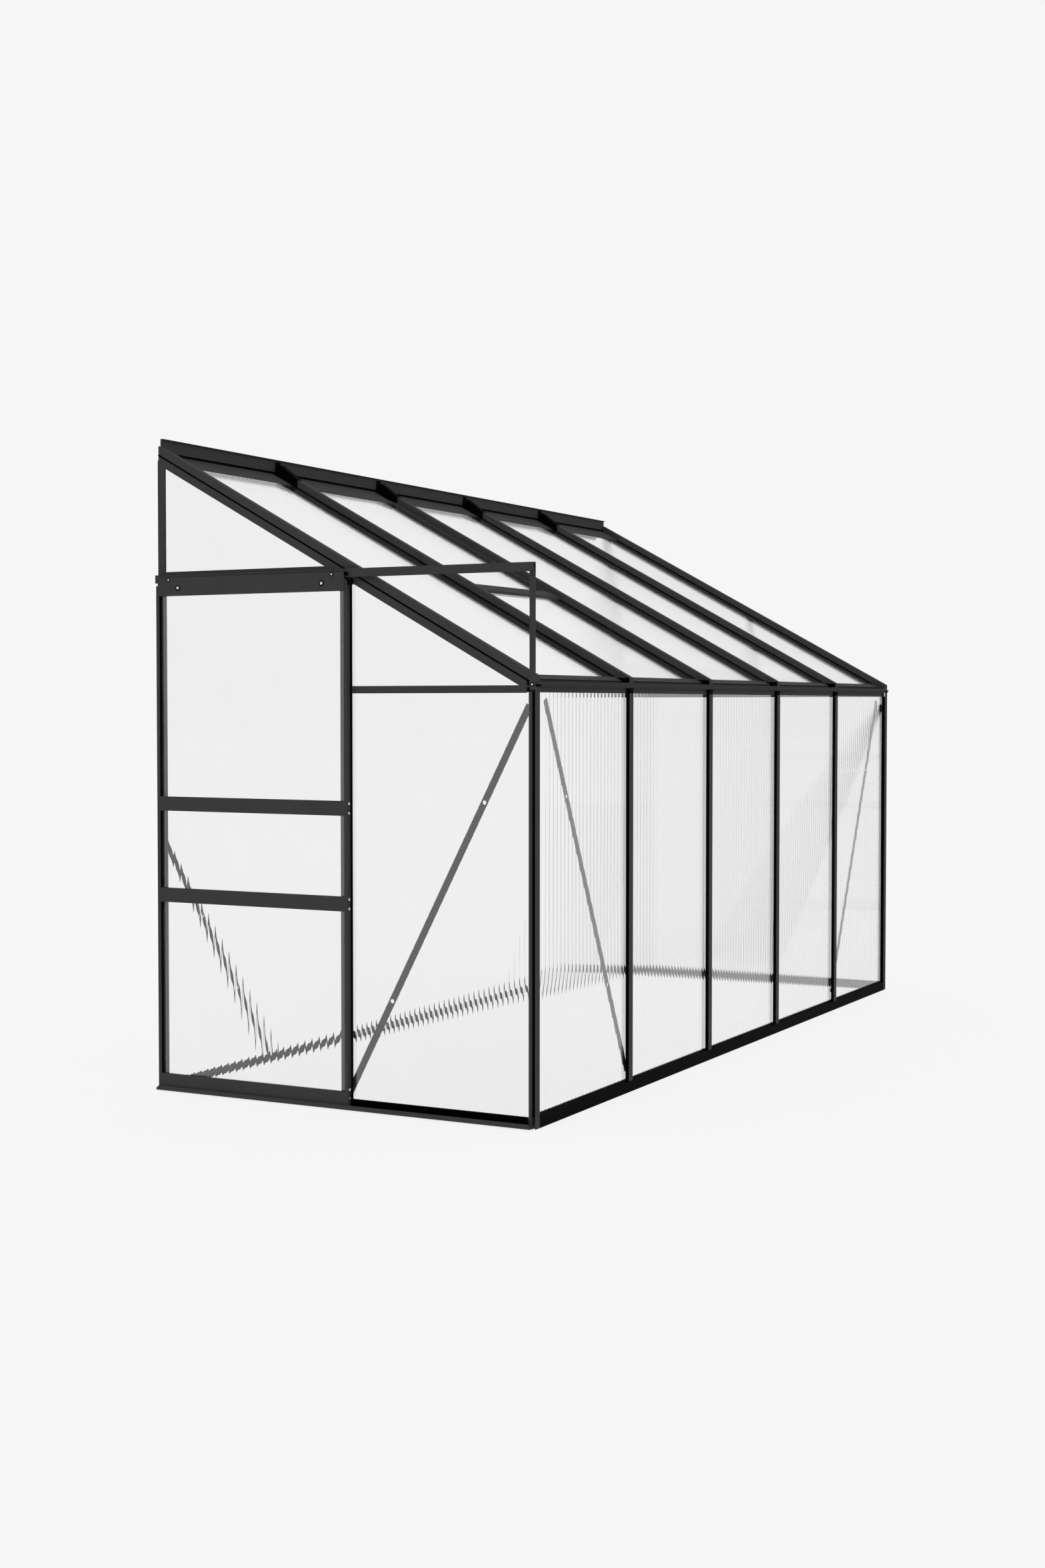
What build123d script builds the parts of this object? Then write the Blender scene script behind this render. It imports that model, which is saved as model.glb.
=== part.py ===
# Lean-to greenhouse: aluminium glazing bars, twin-wall sheets and a sliding door.
# X runs along the low front wall, Y from the front wall to the house wall, Z up.
# The origin is on the ground, in the middle of the whole outline. Sizes are in millimetres.
# The door's gable stands at the low-X end. The back is open, for the house wall.
from build123d import *
from math import atan2, cos, degrees, hypot, radians, sin, tan
import os

# The plan: bar centres, and the outer faces of the bars
bay = 620
end_bay = 609.5
middle_bays = 3
face = 25
frame_depth = 1258
gable_post_centre = 594

# Heights above the ground
base_height = 33
back_base_height = 22
back_base_foot = 12
eave_bottom = 1183.5
eave_height = 31.3
gable_rail_height = 20.8
gable_rail_drop = 1.8

# The roof: its slope, and how far the sheets' upper face lies under the eave's top at the front line
roof_slope = 28.65
roof_drop = 11.3
cap_height = 22.8
rafter_below = 25.5
roof_edge_up = 32

# Walls of the extrusions, and the place of the sheets in them
wall = 2
web = 3
sheet = 4
play = 0.3
front_recess = 12
bar_depth = 30
bead = 10
slot_depth = 8
corner_depth = 20
corner_step = 10.7
corner_box = 17
corner_flange = 24
seal_inset = 0.5
line_gap = 1.5
front_hold = 8
gable_hold = 14

# The eave beam, the closing strip along the roof's edge and the plate at the house wall
beam_box = 15.5
beam_nose = 3
lip_reach = 7
lip_thickness = 3
lip_drop = 9.3
strip_depth = 25.5
strip_rise = 2
plate_depth = 3
plate_inset = 14
plate_return = 10
plate_height = 48.5
plate_rise = 46.7
wall_post_drop = 18.3
ridge_width = 68
ridge_rise = 3
sheet_top_gap = 6

# Black end caps: over the posts' tops and at both ends of the rafters
post_cap_inset = 0.5
corner_cap_depth = 3
top_cap_length = 85
top_cap_proud = 1.5
hook_height = 16
hook_thickness = 3

# The gable base rail: its toe, the recess above it and the lip in front of the sheets
toe_height = 11.6
slot_floor = 21.5
gable_lip_top = 31.4

# Braces: flat strips with two holes in each, lying on the bars' inner flanges
brace_width = 20
brace_thickness = 2
brace_hole = 6
brace_hole_inset = 300
gable_brace_start = 22.5
gable_brace_top = 1149
gable_brace_foot = 52
front_brace_start = 89
front_brace_top = 1164
front_brace_foot = 64
back_brace_rise = 740
back_brace_run = 570
back_brace_foot = 20

# The roof window
window_bay = 1
sill_front = 541
sill_width = 34
sill_rise = 8
window_rise = 4
window_stile = 14
window_gap = 2

# The sliding door
door_overlap = 8
door_back_gap = 7
door_bottom = 12
door_under_track = 8.4
door_thickness = 15
door_gap = 5
stile_lip = 10.5
stile_flange = 29
door_recess = 9
rail_height = 42
lower_rail_level = 565.8
upper_rail_level = 836.5
hanger_under_track = 38.4
hanger_height = 53
hanger_inset = 8
hanger_thickness = 3
buffer_reach = 13
buffer_depth = 11
buffer_height = 16
buffer_drop = 6
slider_height = 11
slider_length = 12

# Bolts, given by the radius of the head
bolt_head = 1.5
small_bolt_radius = 4
large_bolt_radius = 6
small_bolt_inset = 48
large_bolt_inset = 82
large_bolt_drop = 15.7
side_bolt_spacing = 13.25
stay_bolt_up = 14.5
bottom_bolt_rise = 34.75

# The track over the door, its stay, and the guide rail on the ground
track_bottom = 1508.4
track_height = 24
track_depth = 15
track_slot = 7
head_bar_height = 33.9
head_bar_depth = 20
wheel_radius = 6
wheel_width = 3.5
wheel_inset = 48
wheel_lift = 0.6
trolley_length = 40
trolley_thickness = 3
stay_width = 17
stay_thickness = 4
stay_overlap = 6.5
guide_reach = 28
guide_lift = 4.5
guide_height = 13
guide_wall = 2.5
guide_inset = 3
guide_bevel = 8

# Where the outer faces lie, with the origin in the middle of the outline
frame_length = face + 2 * end_bay + middle_bays * bay
left = (guide_reach - frame_length) / 2
right = left + frame_length
front = (lip_reach - frame_depth) / 2
back = front + frame_depth
bar_centres = [left + face / 2]
for k in range(middle_bays + 1):
    bar_centres.append(left + face / 2 + end_bay + k * bay)
bar_centres.append(right - face / 2)
bays = middle_bays + 2
gable_post = front + gable_post_centre
wall_post = back - face
eave_top = eave_bottom + eave_height
roof_level = eave_top - roof_drop
gable_rail_bottom = eave_bottom - gable_rail_drop
rail_top = gable_rail_bottom + gable_rail_height
brace_head = (gable_rail_bottom + rail_top) / 2
slope_sin = sin(radians(roof_slope))
slope_cos = cos(radians(roof_slope))
slope_tan = tan(radians(roof_slope))
front_behind = front_recess + sheet + play
gable_behind = wall + sheet + play
edge = web / 2 + play
plate_face = back - plate_depth

os.makedirs("parts", exist_ok=True)


def save(piece, label):
    piece.part.label = label
    export_step(piece.part, f"parts/{label}.step")


def rectangle(low, high, mode=Mode.ADD):
    with Locations(((low[0] + high[0]) / 2, (low[1] + high[1]) / 2)):
        Rectangle(abs(high[0] - low[0]), abs(high[1] - low[1]), mode=mode)


def draw(section, at, across, inward):
    """Draws a section's rectangles, given as (across, inward) corners, at a place in the sketch."""
    for corners in section:
        rectangle(*(tuple(at[n] + a * across[n] + i * inward[n] for n in (0, 1)) for a, i in corners))


def shape(points):
    Polygon(*points, align=None)


def block(low, high, mode=Mode.ADD):
    with Locations([tuple((a + b) / 2 for a, b in zip(low, high))]):
        Box(*(abs(b - a) for a, b in zip(low, high)), mode=mode)


def roof_height(y, above=0):
    """Height of the line at depth y which lies `above` the roof sheets' upper face."""
    return roof_level + (y - front) * slope_tan + above / slope_cos


def roof_point(up, above):
    """The point `up` the slope from the front line and `above` the sheets, square to the slope."""
    return front + up * slope_cos - above * slope_sin, roof_level + up * slope_sin + above * slope_cos


def roof_block(up, length, low, high):
    """Corners of a rectangle in the roof whose ends are square to the slope."""
    return [roof_point(up, low), roof_point(up + length, low),
            roof_point(up + length, high), roof_point(up, high)]


def roof_depth(z, above=0):
    """Depth at which that line has the height z."""
    return front + (z - roof_level - above / slope_cos) / slope_tan


plate_top = roof_height(back) + plate_rise
plate_bottom = plate_top - plate_height
wall_post_top = roof_height(back) - wall_post_drop


# In the planes along the gables, the sketch's X is the building's Y and its Y is the height
def gable_plane(x):
    return Plane(origin=(x, 0, 0), x_dir=(0, 1, 0), z_dir=(1, 0, 0))


def wall_plane(y):
    """Plane across the building at depth y, its X along the building and its Y up; it faces the front."""
    return Plane(origin=(0, y, 0), x_dir=(1, 0, 0), z_dir=(0, -1, 0))


def roof_band(y0, y1, low, high):
    """Corners of a band in the roof, between two depths and two levels over the sheets' upper face."""
    return [(y0, roof_height(y0, low)), (y1, roof_height(y1, low)),
            (y1, roof_height(y1, high)), (y0, roof_height(y0, high))]


def bar_section(width, behind, hold):
    """A glazing bar: outer flange, web, and an inner flange `hold` wide with its face at `behind`."""
    return [((-width / 2, 0), (width / 2, wall)), ((-web / 2, wall), (web / 2, behind)),
            ((-hold / 2, behind), (hold / 2, behind + wall))]


# The corner bar holds the front sheet in one slot and the gable sheet in the other
corner_section = [
    ((0, 0), (face, wall)), ((face / 2 - web / 2, wall), (face / 2 + web / 2, corner_step)),
    ((0, corner_step), (corner_box, corner_step + wall)), ((0, corner_step), (wall, corner_depth)),
    ((gable_behind, corner_step + wall), (gable_behind + wall, corner_flange)),
    ((corner_box - wall, corner_step + wall), (corner_box, front_behind + wall)),
    ((corner_box, front_behind), (face, front_behind + wall)),
]
wall_post_section = [
    ((0, 0), (face, wall)), ((0, wall), (wall, bar_depth)),
    ((wall, gable_behind), (face, gable_behind + wall)),
]
ends = (("left", left, 1), ("right", right, -1))
for side, x, turn in ends:
    with BuildPart() as corner_post:
        with BuildSketch(Plane.XY):
            draw(corner_section, (x, front), (turn, 0), (0, 1))
        extrude(amount=eave_bottom)
        block((x, front, eave_bottom), (x + turn * face, front + wall, eave_bottom + beam_box))
    save(corner_post, f"front_corner_post_{side}")

    with BuildPart() as end_post:
        with BuildSketch(Plane.XY):
            draw(wall_post_section, (x, back), (0, -1), (turn, 0))
        extrude(amount=wall_post_top)
    save(end_post, f"wall_post_{side}")

with BuildPart() as gable_posts:
    with BuildSketch(Plane.XY.offset(gable_lip_top)):
        for side, x, turn in ends:
            draw(bar_section(face, gable_behind, gable_hold), (x, gable_post), (0, 1), (turn, 0))
    extrude(amount=roof_height(gable_post + face) - gable_lip_top)
    with BuildSketch(gable_plane(left - face)):
        shape(roof_band(gable_post - bay / 2, gable_post + bay / 2, -rafter_below, bay))
    extrude(amount=frame_length + 2 * face, mode=Mode.SUBTRACT)
save(gable_posts, "gable_posts")

with BuildPart() as front_posts:
    with BuildSketch(Plane.XY.offset(base_height)):
        for x in bar_centres[1:-1]:
            draw(bar_section(face, front_behind, front_hold), (x, front), (1, 0), (0, 1))
    extrude(amount=eave_bottom - base_height)
save(front_posts, "front_posts")

# Black seals lie between the outer flanges and the front sheets
with BuildPart() as front_seals:
    for k, x in enumerate(bar_centres):
        inner = face / 2 - seal_inset
        with BuildSketch(Plane.XY.offset(base_height)):
            for turn in (-1, 1):
                inwards = (k > 0 or turn > 0) and (k < bays or turn < 0)
                depth = front_recess if inwards else corner_step
                near = corner_box - face / 2 if inwards and k in (0, bays) else web / 2 + play
                rectangle((x + turn * near, front + wall), (x + turn * inner, front + depth))
        extrude(amount=eave_bottom - base_height)
save(front_seals, "front_seals")

# Base rails. The front one is a box with a slot for the sheets
with BuildPart() as base_front:
    with BuildSketch(gable_plane(left + face)):
        rectangle((front, 0), (front + bar_depth, base_height))
        rectangle((front + wall, wall),
                  (front + bar_depth - wall, base_height - slot_depth - wall), Mode.SUBTRACT)
        rectangle((front + front_recess - play, base_height - slot_depth),
                  (front + front_behind, base_height), Mode.SUBTRACT)
    extrude(amount=frame_length - 2 * face)
save(base_front, "base_rail_front")

with BuildPart() as base_back:
    with BuildSketch(gable_plane(left + bar_depth)):
        rectangle((back - wall, 0), (back, back_base_height))
        rectangle((back - back_base_foot, 0), (back - wall, wall))
    extrude(amount=frame_length - 2 * bar_depth)
save(base_back, "base_rail_back")

side_base_section = [
    ((0, 0), (toe_height, wall)), ((0, wall), (slot_floor, 2 * wall)), ((0, 2 * wall), (wall, face)),
    ((slot_floor - wall, 2 * wall), (slot_floor, face)),
    ((wall, face - wall), (slot_floor - wall, face)),
    ((slot_floor - wall, 0), (slot_floor, 2 * wall)), ((slot_floor, 0), (gable_lip_top, wall)),
    ((slot_floor, gable_behind), (gable_lip_top, gable_behind + wall)),
]
for side, x, turn in ends:
    with BuildPart() as base_side:
        with BuildSketch(wall_plane(wall_post)):
            draw(side_base_section, (x, 0), (0, 1), (turn, 0))
        extrude(amount=wall_post - front - corner_flange)
    save(base_side, f"base_rail_{side}")

under = -sheet
# The eave beam: a box behind the sheets' plane, and a gutter's nose with a lip in front of it
beam_top = eave_bottom + beam_box
lip_level = eave_top - lip_drop
with BuildPart() as eave_beam:
    with BuildSketch(gable_plane(left)):
        rectangle((front + front_recess, eave_bottom), (front + bar_depth, beam_top))
        rectangle((front + front_recess + wall, eave_bottom + wall),
                  (front + bar_depth - wall, beam_top - wall), Mode.SUBTRACT)
        rectangle((front, beam_top), (front + bar_depth, beam_top + wall))
        rectangle((front, beam_top + wall), (front + beam_nose, eave_top))
        upstand = front + bar_depth - wall
        rectangle((upstand, beam_top + wall), (front + bar_depth, roof_height(upstand, under) - play))
        rectangle((front - lip_reach, lip_level), (front, lip_level + lip_thickness))
    extrude(amount=frame_length)
save(eave_beam, "eave_beam")

# The closing strip lies between the rafters, over the sheets' lower edges
with BuildPart() as roof_edge:
    for k in range(bays):
        with BuildSketch(gable_plane(bar_centres[k] + face / 2)):
            shape(roof_block(roof_edge_up, wall, under, strip_rise))
            shape(roof_block(roof_edge_up, strip_depth, strip_rise - wall, strip_rise))
        extrude(amount=bar_centres[k + 1] - bar_centres[k] - face)
save(roof_edge, "roof_edge_strip")

# The plate at the house wall has a return along its top; the ridge bar covers the sheets' upper edges
with BuildPart() as wall_plate:
    with BuildSketch(gable_plane(left + plate_inset)):
        rectangle((plate_face, plate_bottom), (back, plate_top))
        rectangle((back - plate_return, plate_top - wall), (plate_face, plate_top))
    extrude(amount=frame_length - 2 * plate_inset)
save(wall_plate, "wall_plate")

ridge_low = plate_face - ridge_width
with BuildPart() as ridge_bar:
    for k in range(bays):
        with BuildSketch(gable_plane(bar_centres[k] + face / 2)):
            shape(roof_band(ridge_low, plate_face, 0, ridge_rise))
        extrude(amount=bar_centres[k + 1] - bar_centres[k] - face)
save(ridge_bar, "ridge_bar")


# Where a rafter's top meets the front line. Inner rafters are cut off level there, over a black cap
end_level = roof_height(front, cap_height)
over_eave = eave_top + play


# Rafters: a hollow cap over the sheets, and under it a web with the flange they lie on
def rafters(centres, turn=0):
    """Rafters at these places; turn says to which side the gable lies, 0 if there is none."""
    bottom = -rafter_below
    butt = front + bar_depth
    with BuildPart() as bars:
        for x in centres:
            outer = x - turn * face / 2
            inner = outer + turn * gable_behind
            bands = [(x, face, front, play, cap_height), (x, web, butt, bottom, play),
                     (x, face, butt, under - wall, under)]
            if turn:
                bands += [(outer + turn * wall / 2, wall, butt, bottom, -line_gap),
                          (inner + turn * wall / 2, wall, butt, bottom, under - wall)]
            else:
                bands += [(x, bead, butt, bottom, bottom + wall)]
            for middle, width, start, low, high in bands:
                with BuildSketch(gable_plane(middle - width / 2)):
                    shape(roof_band(start, plate_face, low, high))
                extrude(amount=width)
            with BuildSketch(gable_plane(x - face / 2 + wall)):
                shape(roof_band(front - face, back + face, play + wall, cap_height - wall))
            extrude(amount=face - 2 * wall, mode=Mode.SUBTRACT)
            if turn:
                block((x - face, front - face, 0), (x + face, butt, over_eave), Mode.SUBTRACT)
            else:
                with BuildSketch(gable_plane(x - face)):
                    shape([(front - bay, roof_height(front - bay)), (roof_depth(end_level), end_level),
                           (front - bay, end_level)])
                extrude(amount=2 * face, mode=Mode.SUBTRACT)
            block((x - face / 2, front, over_eave), (x + face / 2, front + wall, end_level))
            if turn:
                block((x - face, front, 0), (x + face, gable_post, rail_top), Mode.SUBTRACT)
                block((x - face, wall_post, 0), (x + face, back + face, wall_post_top), Mode.SUBTRACT)
    return bars


save(rafters(bar_centres[:1], 1), "rafter_end_left")
save(rafters(bar_centres[-1:], -1), "rafter_end_right")
save(rafters(bar_centres[1:-1]), "rafters")

# Black caps close the inner rafters' front ends, and clip over their upper ends with a hook at the plate
cap_foot = plate_face - top_cap_length
with BuildPart() as end_caps:
    for x in bar_centres[1:-1]:
        with BuildSketch(gable_plane(x - face / 2)):
            shape([(front + wall, over_eave), (roof_depth(over_eave, play), over_eave),
                   (roof_depth(end_level, play), end_level), (front + wall, end_level)])
        extrude(amount=face)
        with BuildSketch(gable_plane(x - face / 2 - top_cap_proud)):
            shape(roof_band(cap_foot, plate_face, ridge_rise, cap_height + top_cap_proud))
        extrude(amount=face + 2 * top_cap_proud)
        hook_foot = roof_height(plate_face - hook_thickness, cap_height)
        block((x - face / 2, plate_face - hook_thickness, hook_foot),
              (x + face / 2, plate_face, roof_height(plate_face, cap_height) + hook_height))
        with BuildSketch(gable_plane(x - face / 2)):
            shape(roof_band(cap_foot - top_cap_length, back, -rafter_below, cap_height))
        extrude(amount=face, mode=Mode.SUBTRACT)
save(end_caps, "rafter_end_caps")

# Black caps over the posts' tops stand in front of the eave beam, under its nose, or under its lip
# at the corners
with BuildPart() as post_caps:
    for x in bar_centres[1:-1]:
        block((x - face / 2, front + post_cap_inset, eave_bottom),
              (x + face / 2, front + front_recess, beam_top))
    for side, x, turn in ends:
        block((x, front - corner_cap_depth, beam_top), (x + turn * face, front, lip_level))
save(post_caps, "front_post_caps")


# Gable rails and the bar over the doorway
gable_rail_section = bar_section(gable_rail_height, gable_behind, gable_rail_height)
front_span = (front + bar_depth, gable_post - face / 2)
back_span = (gable_post + face / 2, wall_post)
with BuildPart() as gable_rails:
    for x, turn, (y0, y1) in ((left, 1, front_span), (right, -1, front_span), (right, -1, back_span)):
        with BuildSketch(wall_plane(y1)):
            draw(gable_rail_section, (x, brace_head), (0, 1), (turn, 0))
        extrude(amount=y1 - y0)
save(gable_rails, "gable_rails")

head_bar_bottom = track_bottom
head_bar_top = track_bottom + head_bar_height
head_slot = head_bar_top - slot_depth - wall
with BuildPart() as head_bar:
    with BuildSketch(wall_plane(wall_post)):
        rectangle((left, head_bar_bottom), (left + head_bar_depth, head_slot))
        rectangle((left + wall, head_bar_bottom + wall), (left + head_bar_depth - wall, head_slot - wall),
                  Mode.SUBTRACT)
        rectangle((left, head_slot), (left + wall, head_bar_top))
        rectangle((left + gable_behind, head_slot), (left + gable_behind + wall, head_bar_top))
    extrude(amount=wall_post - gable_post)
    with BuildSketch(gable_plane(left - face)):
        shape(roof_band(front, back, -rafter_below, bay))
    extrude(amount=bar_depth * 3, mode=Mode.SUBTRACT)
save(head_bar, "door_head_bar")


# Sheets. Their edges are hidden in the bars
def gable_sheet(x, outlines):
    with BuildPart() as panes:
        for points in outlines:
            with BuildSketch(gable_plane(x)):
                shape(points)
            extrude(amount=sheet)
    return panes


sheet_foot = slot_floor + play
sheet_head = eave_bottom - play
under_cap = -(sheet + wall + play)
post_front = gable_post - edge
post_back = gable_post + edge
sheet_first = front + corner_step + wall + play
sheet_last = back - wall - play
over_rail = rail_top - slot_depth
over_beam = front + bar_depth + play
lower_front = [(sheet_first, sheet_foot), (post_front, sheet_foot),
               (post_front, sheet_head), (sheet_first, sheet_head)]
lower_back = [(post_back, sheet_foot), (sheet_last, sheet_foot),
              (sheet_last, sheet_head), (post_back, sheet_head)]
upper_front = [(over_beam, over_rail + play), (post_front, over_rail + play),
               (post_front, roof_height(post_front, under_cap)),
               (over_beam, roof_height(over_beam, under_cap))]
upper_back = [(post_back, over_rail + play), (sheet_last, over_rail + play),
              (sheet_last, roof_height(sheet_last, under_cap)),
              (post_back, roof_height(post_back, under_cap))]
over_door = [(roof_depth(head_slot + play, under_cap), head_slot + play), (sheet_last, head_slot + play),
             (sheet_last, roof_height(sheet_last, under_cap))]
save(gable_sheet(left + wall, [lower_front, upper_front, over_door]), "gable_panes_left")
save(gable_sheet(right - wall - sheet, [lower_front, upper_front, lower_back, upper_back]),
     "gable_panes_right")

with BuildPart() as front_panes:
    for k in range(bays):
        first = bar_centres[k] + edge if k else left + corner_box + play
        last = bar_centres[k + 1] - edge if k < bays - 1 else right - corner_box - play
        block((first, front + front_recess, base_height - slot_depth + play),
              (last, front + front_recess + sheet, eave_bottom))
save(front_panes, "front_panes")

sill_middle = front + sill_front + sill_width / 2
sheet_low = roof_point(roof_edge_up + wall, under)[0] + play
sheet_high = plate_face - sheet_top_gap
window_start = sill_middle + window_gap
with BuildPart() as roof_panes:
    for k in range(bays):
        with BuildSketch(gable_plane(bar_centres[k] + edge)):
            shape(roof_band(sheet_low, sill_middle if k == window_bay else sheet_high, -sheet, 0))
        extrude(amount=bar_centres[k + 1] - bar_centres[k] - 2 * edge)
save(roof_panes, "roof_panes")

with BuildPart() as window_pane:
    with BuildSketch(gable_plane(bar_centres[window_bay] + edge)):
        shape(roof_band(window_start, sheet_high, -sheet, 0))
    extrude(amount=bar_centres[window_bay + 1] - bar_centres[window_bay] - 2 * edge)
save(window_pane, "window_pane")

# The roof window's frame: channels laid on the sheets
window_left = bar_centres[window_bay] + face / 2 + window_gap
window_right = bar_centres[window_bay + 1] - face / 2 - window_gap
sill_end = front + sill_front + sill_width
window_bars = [
    (window_left, window_right, front + sill_front, sill_end, sill_rise),
    (window_left, window_right, ridge_low - window_stile, ridge_low, window_rise),
    (window_left, window_left + window_stile, sill_end, ridge_low - window_stile, window_rise),
    (window_right - window_stile, window_right, sill_end, ridge_low - window_stile, window_rise),
]
with BuildPart() as window_frame:
    for x0, x1, y0, y1, rise in window_bars:
        with BuildSketch(gable_plane(x0)):
            shape(roof_band(y0, y1, 0, rise))
        extrude(amount=x1 - x0)
    for x0, x1, y0, y1, rise in window_bars:
        with BuildSketch(gable_plane(x0 + wall)):
            shape(roof_band(y0 + wall, y1 - wall, -wall, rise - wall))
        extrude(amount=x1 - x0 - 2 * wall, mode=Mode.SUBTRACT)
save(window_frame, "window_frame")


# Braces: flat strips between two points of a plane, with two holes in each
def braces(strips):
    with BuildPart() as bars:
        for plane, start, end in strips:
            run, rise = end[0] - start[0], end[1] - start[1]
            length = hypot(run, rise)
            middle = ((start[0] + end[0]) / 2, (start[1] + end[1]) / 2, 0)
            tilt = Location(middle, (0, 0, degrees(atan2(rise, run))))
            hole = length / 2 - brace_hole_inset
            with BuildSketch(plane):
                with Locations(tilt):
                    Rectangle(length, brace_width)
                with Locations(tilt * Location((hole, 0, 0)), tilt * Location((-hole, 0, 0))):
                    Circle(brace_hole, mode=Mode.SUBTRACT)
            extrude(amount=brace_thickness)
    return bars


gable_ends = ((front + gable_brace_start, gable_brace_top), (gable_post, gable_brace_foot))
on_gable_bars = gable_behind + wall
on_front_bars = wall_plane(front + front_behind + wall + brace_thickness)
save(braces([(gable_plane(left + on_gable_bars), *gable_ends),
             (gable_plane(right - on_gable_bars - brace_thickness), *gable_ends)]), "gable_braces")
save(braces([(on_front_bars, (end + turn * front_brace_start, front_brace_top), (post, front_brace_foot))
             for end, turn, post in ((left, 1, bar_centres[1]), (right, -1, bar_centres[-2]))]), "front_braces")
save(braces([(wall_plane(back - wall), (x + turn * face, back_brace_rise),
              (x + turn * back_brace_run, back_brace_foot)) for x, turn in ((left, 1), (right, -1))]),
     "back_braces")

# The track is a box with a slot in its underside. The stay carries its front end
track_top = track_bottom + track_height
slot_middle = left - track_depth / 2
with BuildPart() as door_track:
    block((left - track_depth, front, track_bottom), (left, back, track_top))
    block((left - track_depth + wall, front, track_bottom + wall), (left - wall, back, track_top - wall),
          Mode.SUBTRACT)
    block((slot_middle - track_slot / 2, front, track_bottom),
          (slot_middle + track_slot / 2, back, track_bottom + wall), Mode.SUBTRACT)
save(door_track, "door_track")

stay_foot = eave_bottom + stay_overlap
with BuildPart() as track_stay:
    block((left - stay_thickness, front, stay_foot), (left, front + stay_width, track_bottom))
save(track_stay, "track_stay")

with BuildPart() as stay_bolt:
    with BuildSketch(gable_plane(left - stay_thickness)):
        with Locations((front + stay_width / 2, stay_foot + stay_bolt_up)):
            Circle(small_bolt_radius)
    extrude(amount=-bolt_head)
save(stay_bolt, "track_stay_bolt")

guide_top = guide_lift + guide_wall
guide_lip_top = guide_lift + guide_height
guide_front = front + guide_inset
guide_back = back - guide_inset
with BuildPart() as guide_rail:
    block((left - guide_reach, guide_front, guide_lift), (left, guide_back, guide_top))
    block((left - wall, guide_front, guide_top), (left, guide_back, toe_height))
    with BuildSketch(gable_plane(left - guide_reach)):
        shape([(guide_front, guide_top), (guide_back, guide_top), (guide_back, guide_lip_top - guide_bevel),
               (guide_back - guide_bevel, guide_lip_top), (guide_front + guide_bevel, guide_lip_top),
               (guide_front, guide_lip_top - guide_bevel)])
    extrude(amount=guide_wall)
save(guide_rail, "door_guide_rail")

# The door: two stiles, four rails in front of the sheets' edges, and a plate that hangs from two wheels
door_outer = left - door_gap - door_thickness
door_edges = (gable_post - door_overlap, back - door_back_gap)
door_width = door_edges[1] - door_edges[0]
door_top = track_bottom - door_under_track
hanger_bottom = track_bottom - hanger_under_track
hanger_top = hanger_bottom + hanger_height
rail_levels = (door_bottom, lower_rail_level, upper_rail_level)
sheet_rear = door_recess + sheet
stile_section = [((0, 0), (stile_lip, wall)), ((0, wall), (wall, door_thickness)),
                 ((wall, sheet_rear), (stile_flange, door_thickness))]
with BuildPart() as stiles:
    with BuildSketch(Plane.XY.offset(door_bottom)):
        draw(stile_section, (door_outer, door_edges[0]), (0, 1), (1, 0))
        draw(stile_section, (door_outer, door_edges[1]), (0, -1), (1, 0))
    extrude(amount=door_top - door_bottom)
save(stiles, "door_stiles")


def door_rail(levels, height, foot, head):
    """Rails of the door at these heights; a tongue keeps `foot` and `head` clear for the sheets."""
    section = [((0, 0), (height, wall)), ((0, wall), (wall, door_recess)),
               ((height - wall, wall), (height, door_recess)),
               ((wall, door_recess - wall), (height - wall, door_recess)),
               ((foot, door_recess), (height - head, sheet_rear))]
    with BuildPart() as rails:
        with BuildSketch(wall_plane(door_edges[1] - stile_lip)):
            for z in levels:
                draw(section, (door_outer, z), (0, 1), (1, 0))
        extrude(amount=door_width - 2 * stile_lip)
    return rails


save(door_rail(rail_levels[:1], rail_height, 0, slot_depth), "door_bottom_rail")
save(door_rail(rail_levels[1:], rail_height, slot_depth, slot_depth), "door_middle_rails")
save(door_rail([hanger_bottom], door_top - hanger_bottom, slot_depth, 0), "door_top_rail")

with BuildPart() as door_panes:
    for low, high in zip(rail_levels, rail_levels[1:] + (hanger_bottom,)):
        block((door_outer + door_recess, door_edges[0] + wall + play, low + rail_height - slot_depth + play),
              (door_outer + sheet_rear, door_edges[1] - wall - play, high + slot_depth - play))
save(door_panes, "door_panes")

with BuildPart() as door_seals:
    for y, turn in ((door_edges[0], 1), (door_edges[1], -1)):
        block((door_outer + wall, y + turn * (wall + play), door_bottom),
              (door_outer + door_recess, y + turn * (stile_lip - seal_inset), door_top))
save(door_seals, "door_seals")

hanger_face = door_outer - hanger_thickness
hanger_front = door_edges[0] + hanger_inset
with BuildPart() as hanger:
    block((hanger_face, hanger_front, hanger_bottom),
          (door_outer, door_edges[1] - hanger_inset, hanger_top))
save(hanger, "door_hanger_plate")

# Trolleys stand on the top rail: a foot, a stem through the track's slot, and a wheel on each side
wheel_height = track_bottom + wall + wheel_lift + wheel_radius
stem = slot_middle - trolley_thickness / 2
with BuildPart() as rollers:
    for y in (door_edges[0] + wheel_inset, door_edges[1] - wheel_inset):
        y0, y1 = y - trolley_length / 2, y + trolley_length / 2
        block((door_outer + wall, y0, door_top), (stem + trolley_thickness, y1, door_top + wall))
        block((stem, y0, door_top + wall),
              (stem + trolley_thickness, y1, wheel_height + trolley_thickness))
        for x in (stem - wheel_width, stem + trolley_thickness):
            with BuildSketch(gable_plane(x)):
                with Locations(*((y + side * (trolley_length / 2 - wheel_radius), wheel_height)
                                 for side in (-1, 1))):
                    Circle(wheel_radius)
            extrude(amount=wheel_width)
save(rollers, "door_rollers")

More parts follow.
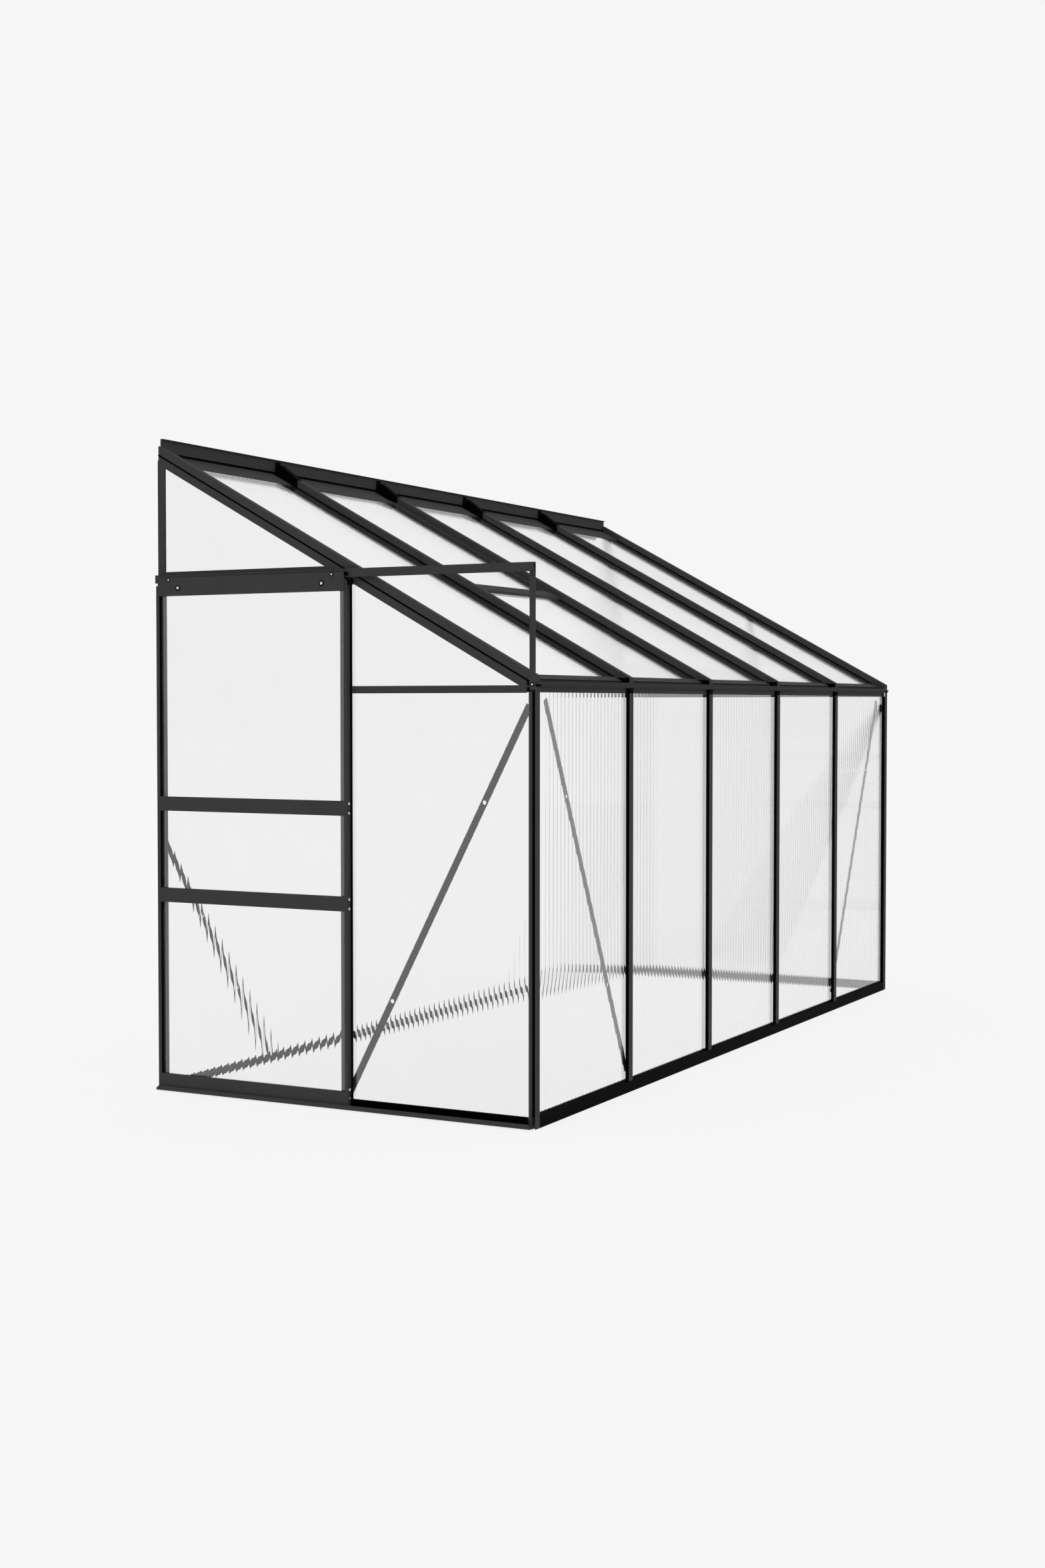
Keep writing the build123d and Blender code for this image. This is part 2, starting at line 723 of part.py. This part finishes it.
# Black buffers: at the front stile's top, and at the front end of the hanger plate
buffer_top = track_bottom - buffer_drop
buffer_outer = door_outer + wall
with BuildPart() as buffers:
    block((buffer_outer, door_edges[0] - buffer_reach, buffer_top - buffer_height),
          (buffer_outer + buffer_depth, door_edges[0], buffer_top))
    block((hanger_face, hanger_front - slider_length, hanger_top - slider_height),
          (door_outer, hanger_front, hanger_top))
save(buffers, "door_buffers")

# Bolt heads on the hanger plate, and on the door's front edge where the rails end
bolt_middles = [rail_levels[0] + bottom_bolt_rise] + [z + rail_height / 2 for z in rail_levels[1:]]
with BuildPart() as door_bolts:
    for inset, height, radius in ((small_bolt_inset, wheel_height, small_bolt_radius),
                                  (large_bolt_inset, track_bottom - large_bolt_drop, large_bolt_radius)):
        with BuildSketch(gable_plane(hanger_face)):
            with Locations((door_edges[0] + inset, height), (door_edges[1] - inset, height)):
                Circle(radius)
        extrude(amount=-bolt_head)
    with BuildSketch(wall_plane(door_edges[0])):
        for z in bolt_middles:
            with Locations(*((door_outer + door_thickness / 2, z + side * side_bolt_spacing)
                             for side in (-1, 1))):
                Circle(small_bolt_radius)
    extrude(amount=bolt_head)
save(door_bolts, "door_bolts")
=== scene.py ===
import bpy
import bmesh
import math
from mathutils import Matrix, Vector


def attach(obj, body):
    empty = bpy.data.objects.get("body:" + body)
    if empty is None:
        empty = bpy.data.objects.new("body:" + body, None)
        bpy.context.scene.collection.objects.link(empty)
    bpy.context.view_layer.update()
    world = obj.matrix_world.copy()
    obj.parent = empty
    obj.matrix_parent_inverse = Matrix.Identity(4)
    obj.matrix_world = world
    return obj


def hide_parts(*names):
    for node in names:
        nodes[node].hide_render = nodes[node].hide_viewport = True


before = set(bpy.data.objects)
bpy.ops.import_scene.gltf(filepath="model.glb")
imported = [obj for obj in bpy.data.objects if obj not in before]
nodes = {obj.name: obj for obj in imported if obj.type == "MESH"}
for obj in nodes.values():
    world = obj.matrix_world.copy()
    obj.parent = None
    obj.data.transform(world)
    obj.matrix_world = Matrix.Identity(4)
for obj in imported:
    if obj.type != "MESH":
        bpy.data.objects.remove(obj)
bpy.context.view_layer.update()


# camera, from the photograph's vanishing points and the height of its horizon
camera = {
    "place": (-6.4383, -3.1347, 1.1486),  # metres
    "tilt": -1.962,  # degrees, below the horizon
    "turn": -62.237,
    "sensor": 36,  # mm, along the picture's long side
    "lens": 47.014,  # mm
    "shift": (0.00633, -0.00552),
    "reach": (0.05, 500),  # metres
}


def addCamera():
    data = bpy.data.cameras.new("studioCamera")
    data.sensor_width = camera["sensor"]
    data.lens = camera["lens"]
    data.shift_x, data.shift_y = camera["shift"]
    data.clip_start, data.clip_end = camera["reach"]
    rig = bpy.data.objects.new("studioCamera", data)
    rig.location = camera["place"]
    rig.rotation_euler = (math.radians(90 + camera["tilt"]), 0, math.radians(camera["turn"]))
    bpy.context.scene.collection.objects.link(rig)
    bpy.context.scene.camera = rig


addCamera()
print("camera placed")


# sRGB hex to the linear values that the shaders take
def fromHex(code):
    parts = [int(code[i:i + 2], 16) / 255 for i in (1, 3, 5)]
    return tuple(c / 12.92 if c <= 0.04045 else ((c + 0.055) / 1.055) ** 2.4 for c in parts) + (1.0,)


# adds one node; inputs holds a plain value or the socket that feeds it
def addNode(tree, kind, settings=None, inputs=None):
    node = tree.nodes.new(kind)
    for key, value in (settings or {}).items():
        setattr(node, key, value)
    for key, value in (inputs or {}).items():
        if isinstance(value, bpy.types.NodeSocket):
            tree.links.new(value, node.inputs[key])
        else:
            node.inputs[key].default_value = value
    return node


white = fromHex("#ffffff")
mixShare, mixFirst, mixSecond, mixResult = 0, 6, 7, 2  # the Mix node's sockets for two colours


def newMaterial(name):
    material = bpy.data.materials.new(name)
    material.use_nodes = True
    material.node_tree.nodes.clear()
    return material, material.node_tree


def finishMaterial(tree, surface):
    addNode(tree, "ShaderNodeOutputMaterial", None, {"Surface": surface})


# turns the mesh being worked on into an object with one finish
def addMesh(name, work, finish):
    mesh = bpy.data.meshes.new(name)
    work.to_mesh(mesh)
    work.free()
    mesh.materials.append(finish)
    made = bpy.data.objects.new(name, mesh)
    bpy.context.scene.collection.objects.link(made)
    return made


# the same for a piece of the greenhouse, which moves with a body
def addPiece(name, work, finish, body):
    bmesh.ops.recalc_face_normals(work, faces=work.faces)
    piece = addMesh(name, work, finish)
    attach(piece, body)
    return piece


# studio: soft key from the left and above, even pale surroundings
studio = {
    "background": "#f6f6f6",  # what the camera, gloss and clear sheets see
    "skyLevel": 0.92,  # what the surroundings give as light
    "keyLevel": 0.3,
    "keyFrom": (-0.50, -0.15, 0.85),
    "keySpread": 50,  # degrees across
    "floorReach": 60,  # metres
    "floorGlow": 0.829,  # light from below, so that hardly any shadow shows
    "floorPaint": "#5a5a5a",
}


def buildWorld():
    world = bpy.data.worlds.new("studioWorld")
    bpy.context.scene.world = world
    world.use_nodes = True
    tree = world.node_tree
    tree.nodes.clear()
    path = addNode(tree, "ShaderNodeLightPath")
    glossySeen = addNode(tree, "ShaderNodeMath", {"operation": "MAXIMUM"},
                         {0: path.outputs["Is Camera Ray"], 1: path.outputs["Is Glossy Ray"]})
    seen = addNode(tree, "ShaderNodeMath", {"operation": "MAXIMUM"},
                   {0: glossySeen.outputs[0], 1: path.outputs["Is Transmission Ray"]})
    light = addNode(tree, "ShaderNodeBackground", None,
                    {"Color": white, "Strength": studio["skyLevel"]})
    shown = addNode(tree, "ShaderNodeBackground", None,
                    {"Color": fromHex(studio["background"]), "Strength": 1.0})
    mix = addNode(tree, "ShaderNodeMixShader", None,
                  {0: seen.outputs[0], 1: light.outputs[0], 2: shown.outputs[0]})
    addNode(tree, "ShaderNodeOutputWorld", None, {"Surface": mix.outputs[0]})


def addKeyLight():
    data = bpy.data.lights.new("keyLight", "SUN")
    data.energy = studio["keyLevel"]
    data.angle = math.radians(studio["keySpread"])
    lamp = bpy.data.objects.new("keyLight", data)
    lamp.rotation_euler = Vector(studio["keyFrom"]).to_track_quat("Z", "Y").to_euler()
    bpy.context.scene.collection.objects.link(lamp)


def addFloor():
    material, tree = newMaterial("Studio floor, backlit opal acrylic")
    diffuse = addNode(tree, "ShaderNodeBsdfDiffuse", None,
                      {"Color": fromHex(studio["floorPaint"]), "Roughness": 0.0})
    glow = addNode(tree, "ShaderNodeEmission", None,
                   {"Color": white, "Strength": studio["floorGlow"]})
    both = addNode(tree, "ShaderNodeAddShader", None, {0: diffuse.outputs[0], 1: glow.outputs[0]})
    finishMaterial(tree, both.outputs[0])
    reach = studio["floorReach"]
    work = bmesh.new()
    work.faces.new([work.verts.new((x * reach, y * reach, 0))
                    for x, y in ((-1, -1), (1, -1), (1, 1), (-1, 1))])
    addMesh("studioFloor", work, material)


bpy.context.scene.view_settings.view_transform = "Standard"
buildWorld()
addKeyLight()
addFloor()
print("studio lit")


# powder-coated aluminium: sprayed and baked, flat anthracite with a faint orange peel
powderCoat = {
    "colour": "#3b3b3c", "darker": "#343435",  # two shades, in soft patches
    "patch": 90,  # mm
    "roughness": 0.75, "uneven": 0.06,
    "sheenLevel": 0.07,
    "peel": 1.6, "peelDepth": 0.2,  # mm
    "peelStrength": 0.12,
}
# painted shade: the front base rail is made near-black, for the deep shade on its recessed face
shadeBlackCoat = dict(powderCoat, colour="#030303", darker="#010101", sheenLevel=0.03)


def powderCoatedAluminium(name, look):
    material, tree = newMaterial(name)
    place = addNode(tree, "ShaderNodeTexCoord").outputs["Object"]
    patches = addNode(tree, "ShaderNodeTexNoise", None,
                      {"Vector": place, "Scale": 1000 / look["patch"], "Detail": 3.0})
    tone = addNode(tree, "ShaderNodeMix", {"data_type": "RGBA"},
                   {mixShare: patches.outputs["Fac"], mixFirst: fromHex(look["darker"]),
                    mixSecond: fromHex(look["colour"])})
    peel = addNode(tree, "ShaderNodeTexNoise", None,
                   {"Vector": place, "Scale": 1000 / look["peel"], "Detail": 2.0})
    bump = addNode(tree, "ShaderNodeBump", None,
                   {"Height": peel.outputs["Fac"], "Strength": look["peelStrength"],
                    "Distance": look["peelDepth"] / 1000})
    rough = addNode(tree, "ShaderNodeMapRange", None,
                    {"Value": patches.outputs["Fac"], "To Min": look["roughness"] - look["uneven"],
                     "To Max": look["roughness"] + look["uneven"]})
    skin = addNode(tree, "ShaderNodeBsdfPrincipled", None,
                   {"Base Color": tone.outputs[mixResult], "Roughness": rough.outputs[0],
                    "Specular IOR Level": look["sheenLevel"], "Normal": bump.outputs[0]})
    finishMaterial(tree, skin.outputs[0])
    return material


# black rubber, extruded: matt and a little dusty; black nylon, moulded: slightly glossier; both also stand in
# as painted shade in joints, recesses, rafter tops and round bolts
# the grit is drawn coarser than the real grain, which is too fine to show
blackRubberAndShade = {
    "colour": "#010101", "dust": "#040404",
    "roughness": 0.95, "sheenLevel": 0.02,
    "grit": 1.2, "gritDepth": 0.2,  # mm
    "gritStrength": 0.15,
}
blackNylonAndShade = dict(blackRubberAndShade, colour="#020202", roughness=0.9, sheenLevel=0.03, grit=0.8)


def blackCompound(name, look):
    material, tree = newMaterial(name)
    place = addNode(tree, "ShaderNodeTexCoord").outputs["Object"]
    dust = addNode(tree, "ShaderNodeTexNoise", None,
                   {"Vector": place, "Scale": 1000 / look["grit"], "Detail": 3.0})
    tone = addNode(tree, "ShaderNodeMix", {"data_type": "RGBA"},
                   {mixShare: dust.outputs["Fac"], mixFirst: fromHex(look["colour"]),
                    mixSecond: fromHex(look["dust"])})
    bump = addNode(tree, "ShaderNodeBump", None,
                   {"Height": dust.outputs["Fac"], "Strength": look["gritStrength"],
                    "Distance": look["gritDepth"] / 1000})
    skin = addNode(tree, "ShaderNodeBsdfPrincipled", None,
                   {"Base Color": tone.outputs[mixResult], "Roughness": look["roughness"],
                    "Specular IOR Level": look["sheenLevel"], "Normal": bump.outputs[0]})
    finishMaterial(tree, skin.outputs[0])
    return material


# zinc-plated steel: electroplated and passivated, bright and slightly cloudy
zincPlate = {"colour": "#e4e6e8", "cloud": "#cfd2d5", "roughness": 0.3, "spot": 3.0}  # spot in mm


def zincPlatedSteel(look):
    material, tree = newMaterial("Zinc-plated steel, bright passivated")
    place = addNode(tree, "ShaderNodeTexCoord").outputs["Object"]
    cloud = addNode(tree, "ShaderNodeTexNoise", None,
                    {"Vector": place, "Scale": 1000 / look["spot"], "Detail": 2.0})
    tone = addNode(tree, "ShaderNodeMix", {"data_type": "RGBA"},
                   {mixShare: cloud.outputs["Fac"], mixFirst: fromHex(look["cloud"]),
                    mixSecond: fromHex(look["colour"])})
    metal = addNode(tree, "ShaderNodeBsdfPrincipled", None,
                    {"Base Color": tone.outputs[mixResult], "Metallic": 1.0,
                     "Roughness": look["roughness"]})
    finishMaterial(tree, metal.outputs[0])
    return material


# twin-wall polycarbonate: extruded and clear, so its ripples break up what is behind it
clearSheet = {
    "tint": "#f7f7f7", "hazeTint": "#f5f5f5",
    "haze": 140,  # mm
    "roughness": 0.0,
    "refraction": 1.68,  # polycarbonate has 1.585, and was matched to the photograph from there
    "shadowTint": "#f7f8f8",  # light that goes through to the floor
}


def twinWallPolycarbonate(look):
    material, tree = newMaterial("Twin-wall polycarbonate, extruded clear")
    place = addNode(tree, "ShaderNodeTexCoord").outputs["Object"]
    haze = addNode(tree, "ShaderNodeTexNoise", None,
                   {"Vector": place, "Scale": 1000 / look["haze"], "Detail": 2.0})
    tone = addNode(tree, "ShaderNodeMix", {"data_type": "RGBA"},
                   {mixShare: haze.outputs["Fac"], mixFirst: fromHex(look["tint"]),
                    mixSecond: fromHex(look["hazeTint"])})
    clear = addNode(tree, "ShaderNodeBsdfPrincipled", None,
                    {"Base Color": tone.outputs[mixResult], "Roughness": look["roughness"],
                     "IOR": look["refraction"], "Transmission Weight": 1.0})
    through = addNode(tree, "ShaderNodeBsdfTransparent", None,
                      {"Color": fromHex(look["shadowTint"])})
    path = addNode(tree, "ShaderNodeLightPath")
    lit = addNode(tree, "ShaderNodeMixShader", None,
                  {0: path.outputs["Is Shadow Ray"], 1: clear.outputs[0], 2: through.outputs[0]})
    finishMaterial(tree, lit.outputs[0])
    return material


framePaint = powderCoatedAluminium("Powder-coated aluminium, anthracite", powderCoat)
shadeBlackPaint = powderCoatedAluminium("Powder-coated aluminium, black as painted shade", shadeBlackCoat)
sealRubberAndShade = blackCompound("EPDM rubber, extruded gasket and painted shade", blackRubberAndShade)
nylonAndShadeBlack = blackCompound("Black nylon, moulded and painted shade", blackNylonAndShade)
boltZinc = zincPlatedSteel(zincPlate)
clearPolycarbonate = twinWallPolycarbonate(clearSheet)
print("materials ready")


# every other CAD node is powder-coated in anthracite, apart from the sheets, which are replaced below
# painted shade: the rafter end caps are black for the shade at the rafters' lower ends, and the front base
# rail for the shade on its face
finishOf = {
    "base_rail_front": shadeBlackPaint,
    "front_seals": sealRubberAndShade, "door_seals": sealRubberAndShade,
    "door_rollers": nylonAndShadeBlack, "rafter_end_caps": nylonAndShadeBlack,
    "front_post_caps": nylonAndShadeBlack, "door_buffers": nylonAndShadeBlack,
    "door_bolts": boltZinc, "track_stay_bolt": boltZinc,
}
for name, node in nodes.items():
    for place in node.material_slots:
        place.material = finishOf.get(name, framePaint)
print("frame painted")


tolerance = {
    "weld": 1e-5,  # metres, between corners of a CAD solid that meet
    "merge": 1e-6,  # metres, between new points that fall together
    "line": 1e-7,  # metres, between two lines that count as one
    "straight": 1e-12,  # square metres: a corner that turns less than this is left out
}


# the points of each solid in a CAD node
def solidsOf(nodeName):
    source = bmesh.new()
    source.from_mesh(nodes[nodeName].data)
    bmesh.ops.remove_doubles(source, verts=source.verts, dist=tolerance["weld"])
    left = set(source.verts)
    for start in source.verts:
        if start not in left:
            continue
        left.discard(start)
        group, edge = [], [start]
        while edge:
            vert = edge.pop()
            group.append(vert.co.copy())
            for link in vert.link_edges:
                other = link.other_vert(vert)
                if other in left:
                    left.discard(other)
                    edge.append(other)
        yield group
    source.free()


# the lower and upper side of a flat sheet's outline, both from left to right
def outline(points):
    points = sorted(set((round(a, 6), round(b, 6)) for a, b in points))  # to a thousandth of a mm

    def oneSide(sequence):
        chain = []
        for p in sequence:
            while len(chain) > 1 and ((chain[-1][0] - chain[-2][0]) * (p[1] - chain[-2][1])
                                      - (chain[-1][1] - chain[-2][1]) * (p[0] - chain[-2][0])
                                      ) <= tolerance["straight"]:
                chain.pop()
            chain.append(p)
        return chain
    return oneSide(points), oneSide(points[::-1])[::-1]


# the height of one side of the outline above a place along it
def levelAt(chain, at):
    same = tolerance["line"]
    for (a, b), (c, d) in zip(chain, chain[1:]):
        if a - same <= at <= c + same:
            return b if c - a < same else b + (d - b) * (at - a) / (c - a)
    return chain[0][1] if at < chain[0][0] else chain[-1][1]


# fluted sheets: each keeps the outline and place of its CAD solid, and its faces sway from line to line
flutes = {
    "front": {"pitch": 24.0, "rise": 0.25, "form": "scored"},  # mm
    "gable": {"pitch": 15.7, "rise": 0.14, "form": "crowned"},
    "door": {"pitch": 24.4, "rise": 0.17, "form": "hollow"},
    "roof": {"pitch": 18.0, "rise": 0.065, "form": "scored"},
    "steps": 12,  # facets from one line to the next
    "clear": 0.25,  # of a step, kept between a facet's edge and a corner of the outline
}
# share of the rise by which a face sinks, at -1 and 1 on the lines and at 0 midway between them
sinkOf = {
    "scored": lambda sway: 1 - sway ** 2,  # outer face only, the inner one is flat
    "hollow": lambda sway: 1 - sway ** 4,
    "crowned": lambda sway: sway ** 4,
}


def flutedSheets(pieceName, nodeName, body, across, along, flute):
    across, along = Vector(across), Vector(along)
    through = across.cross(along)
    pitch, rise = flute["pitch"] / 1000, flute["rise"] / 1000
    step = pitch / flutes["steps"]
    same = tolerance["line"]
    work = bmesh.new()
    for points in solidsOf(nodeName):
        lower, upper = outline([(p.dot(across), p.dot(along)) for p in points])
        depths = [p.dot(through) for p in points]
        near, far = min(depths), max(depths)
        first, last = lower[0][0], lower[-1][0]
        corners = {p[0] for p in lower + upper}
        marks = corners | {k * step for k in range(math.ceil(first / step), int(last / step) + 1)
                           if all(abs(k * step - m) > step * flutes["clear"] for m in corners)}
        rings = []
        for at in sorted(m for m in marks if first - same <= m <= last + same):
            low, high = levelAt(lower, at), levelAt(upper, at)
            sway = (2 * at / pitch + 1) % 2 - 1  # -1 to 1 from line to line
            sink = rise * sinkOf[flute["form"]](sway)
            inner = near if flute["form"] == "scored" else near + sink
            rings.append([work.verts.new(across * at + along * v + through * w) for v, w in
                          ((low, inner), (high, inner), (high, far - sink), (low, far - sink))])
        for a, b in zip(rings, rings[1:]):
            for i in range(4):
                face = work.faces.new((a[i], a[(i + 1) % 4], b[(i + 1) % 4], b[i]))
                face.smooth = i in (0, 2)  # the two faces of the sheet, not its edges
        for ring in (rings[0], rings[-1]):
            work.faces.new(ring)
    bmesh.ops.remove_doubles(work, verts=work.verts, dist=tolerance["merge"])
    bmesh.ops.dissolve_degenerate(work, edges=work.edges, dist=tolerance["merge"])
    for edge in work.edges:
        edge.smooth = all(face.smooth for face in edge.link_faces)
    piece = addPiece(pieceName, work, clearPolycarbonate, body)
    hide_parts(nodeName)


slope = math.radians(28.65)
lengthways, depthways, upright = (1, 0, 0), (0, 1, 0), (0, 0, 1)
upSlope = (0, math.cos(slope), math.sin(slope))
offSlope = (0, -math.sin(slope), math.cos(slope))
flutedSheets("front_sheets", "front_panes", "greenhouse", lengthways, upright, flutes["front"])
flutedSheets("gable_sheets_left", "gable_panes_left", "greenhouse", depthways, upright, flutes["gable"])
flutedSheets("gable_sheets_right", "gable_panes_right", "greenhouse", depthways, upright, flutes["gable"])
flutedSheets("door_sheets", "door_panes", "door", depthways, upright, flutes["door"])
flutedSheets("roof_sheets", "roof_panes", "greenhouse", lengthways, upSlope, flutes["roof"])
flutedSheets("window_sheet", "window_pane", "greenhouse", lengthways, upSlope, flutes["roof"])
print("sheets fluted")


# the building's lines in mm, as the CAD has them
lines = {
    "barHalf": 12.5,  # half a bar's width
    "bars": (-1525.5, -916.0, -296.0, 324.0, 944.0, 1553.5),  # the rafters' middles
    "left": -1538.0, "right": 1566.0,  # the gables' outer faces
    "front": -625.5, "plateFace": 629.5,  # the front line, and the wall plate's face towards it
    "gablePost": -31.5, "wallPost": 607.5,
    "roofLevel": 1203.5,  # height of the roof sheets' upper face at the front line
    "ridgeTop": 3.0,  # the ridge bar's top above that face
}


# the height of the roof sheets' upper face
def roofHeight(y):
    return lines["roofLevel"] + (y - lines["front"]) * math.tan(slope)


# the same place as a distance up the slope and a distance off it
def inRoof(y):
    z = roofHeight(y)
    return y * math.cos(slope) + z * math.sin(slope), z * math.cos(slope) - y * math.sin(slope)


square = (lengthways, depthways, upright)
sloped = (lengthways, upSlope, offSlope)


# straight strips, each a block between two corners that are given in mm along three directions
def addStrips(pieceName, axes, corners, finish=sealRubberAndShade):
    axes = [Vector(a) for a in axes]
    work = bmesh.new()
    for low, high in corners:
        for vert in bmesh.ops.create_cube(work, size=1.0)["verts"]:
            at = [(a if c < 0 else b) / 1000 for c, a, b in zip(vert.co, low, high)]
            vert.co = sum((axis * v for axis, v in zip(axes, at)), Vector())
    addPiece(pieceName, work, finish, "greenhouse")


# painted shade: black strips where the joints and recesses lie in shade, mm
strips = {
    "plate": {"width": 2.5, "height": 6.5},
    "rafter": {"width": 2.0, "height": 2.8, "fromFront": 50, "fromPlate": 68},
    "endRafter": {"proud": 0.5, "below": 3.4, "above": 1.4, "fromFront": 20},
    "post": {"proud": 0.5, "width": 5.5, "foot": 32.0, "belowRoof": 27},
    "recess": {"outer": 0.6, "inner": 2.0, "foot": 11.8, "head": 19.3},
    "lip": {"proud": 0.5, "foot": 19.5, "head": 31.2},
    "baseFromFront": 24,
}
half, bars = lines["barHalf"], lines["bars"]
left, right, front = lines["left"], lines["right"], lines["front"]
plateFace, wallPost = lines["plateFace"], lines["wallPost"]
sheetLevel = inRoof(front)[1]
plateUp = inRoof(plateFace)[0]

# painted shade along the wall plate's foot, from bar to bar, for the shadowed gap under the plate
strip = strips["plate"]
plateFoot = roofHeight(plateFace) + lines["ridgeTop"]
addStrips("plate_shade_strip", square,
          [((a + half, plateFace - strip["width"], plateFoot),
            (b - half, plateFace, plateFoot + strip["height"])) for a, b in zip(bars, bars[1:])])

# painted shade on the sheets, along both sides of the rafters and the inner side of the end ones, for the
# shadow line at each rafter's edge
strip = strips["rafter"]
outerSide = half + strip["width"]
rafterFoot = inRoof(front + strip["fromFront"])[0]
rafterHead = inRoof(plateFace - strip["fromPlate"])[0]
addStrips("rafter_shade_strips", sloped,
          [((x + side * half, rafterFoot, sheetLevel),
            (x + side * outerSide, rafterHead, sheetLevel + strip["height"]))
           for x in bars for side in (-1, 1) if left < x + side * outerSide < right])

# painted shade on the left end rafter's outer face, level with the sheets, for the shadow on the ledge there
strip = strips["endRafter"]
addStrips("end_rafter_shade_strips", sloped,
          [((left - strip["proud"], inRoof(front + strip["fromFront"])[0], sheetLevel - strip["below"]),
            (left, plateUp, sheetLevel + strip["above"]))])

# painted shade: a black strip along the left gable post's front edge, for the shade beside the door
strip = strips["post"]
postEdge = lines["gablePost"] - half
addStrips("gable_post_shade_strip", square,
          [((left - strip["proud"], postEdge, strip["foot"]),
            (left, postEdge + strip["width"], roofHeight(postEdge) - strip["belowRoof"]))])

# painted shade: black strips in the recess of both gable base rails, and on the left one's lip
strip, lip = strips["recess"], strips["lip"]
tapeFront = front + strips["baseFromFront"]
addStrips("gable_base_shade_strips", square,
          [((x + a, tapeFront, low), (x + b, wallPost, high)) for x, a, b, low, high in (
              (left, strip["outer"], strip["inner"], strip["foot"], strip["head"]),
              (left, -lip["proud"], 0, lip["foot"], lip["head"]),
              (right, -strip["inner"], -strip["outer"], strip["foot"], strip["head"]))])
print("gaskets laid")


# the caps on the middle rafters' upper ends: wedges that rise to a hook at the wall plate, and flanges, black
# as painted shade where the rafter tops meet the plate
topCap = {  # mm
    "length": 84,
    "cover": 24.3,  # the rafter's top above the sheets
    "sink": 1.0,  # the wedge's foot below that top
    "plateGap": 0.5,
    "headRise": 12.0, "hookRise": 10.8, "hookLength": 12,
    "flangeFrom": 1.5, "flangeTo": 17,  # out from the rafter's side
    "flangeRise": 1.4,  # above the ridge bar
    "flangePlateGap": 3,
}


def addCapWedges():
    top = sheetLevel + topCap["cover"]
    head = plateUp - topCap["plateGap"]
    foot = head - topCap["length"]
    profile = ((foot, top - topCap["sink"]), (head, top - topCap["sink"]),
               (head, top + topCap["headRise"]), (head - topCap["hookLength"], top + topCap["hookRise"]),
               (foot, top))
    alongBars, up, off = (Vector(axis) / 1000 for axis in sloped)
    work = bmesh.new()
    for x in bars[1:-1]:
        ends = [[work.verts.new(alongBars * at + up * u + off * o) for u, o in profile]
                for at in (x - half, x + half)]
        for i in range(len(profile)):
            j = (i + 1) % len(profile)
            work.faces.new((ends[0][i], ends[0][j], ends[1][j], ends[1][i]))
        for end in ends:
            work.faces.new(end)
    addPiece("rafter_cap_shade_wedges", work, nylonAndShadeBlack, "greenhouse")


addCapWedges()
ridgeLevel = sheetLevel + lines["ridgeTop"]
addStrips("rafter_cap_shade_flanges", sloped,
          [((x + side * (half + topCap["flangeFrom"]), plateUp - topCap["length"], ridgeLevel),
            (x + side * (half + topCap["flangeTo"]), plateUp - topCap["flangePlateGap"],
             ridgeLevel + topCap["flangeRise"])) for x in bars[1:-1] for side in (-1, 1)],
          nylonAndShadeBlack)


# painted shade: black washers round the bolts that face the doorway side, for the dark ring of shadow round
# each head
washer = {
    "hole": 0.70, "rim": 1.3,  # times the bolt head's radius
    "proud": 0.3,  # mm
    "sides": 24,
}


def addShadeWashers(pieceName, nodeName, body):
    turns = [2 * math.pi * k / washer["sides"] for k in range(washer["sides"])]
    work = bmesh.new()
    for points in solidsOf(nodeName):
        low = [min(p[i] for p in points) for i in range(3)]
        high = [max(p[i] for p in points) for i in range(3)]
        middleY, middleZ = (low[1] + high[1]) / 2, (low[2] + high[2]) / 2
        width, height = high[1] - low[1], high[2] - low[2]
        if abs(height - width) > width / 4:
            continue  # not round from this side, so it faces another way
        hole, rim = washer["hole"] * width / 2, washer["rim"] * width / 2
        outer, inner = low[0] - washer["proud"] / 1000, high[0]
        rings = [[work.verts.new((x, middleY + radius * math.cos(t), middleZ + radius * math.sin(t)))
                  for t in turns] for radius, x in ((hole, outer), (rim, outer), (rim, inner), (hole, inner))]
        for a, b in zip(rings, rings[1:] + rings[:1]):
            for k in range(len(turns)):
                j = (k + 1) % len(turns)
                work.faces.new((a[k], a[j], b[j], b[k]))
    addPiece(pieceName, work, nylonAndShadeBlack, body)


addShadeWashers("door_bolt_shade_washers", "door_bolts", "door")
addShadeWashers("stay_bolt_shade_washer", "track_stay_bolt", "greenhouse")
print("caps and washers fitted")
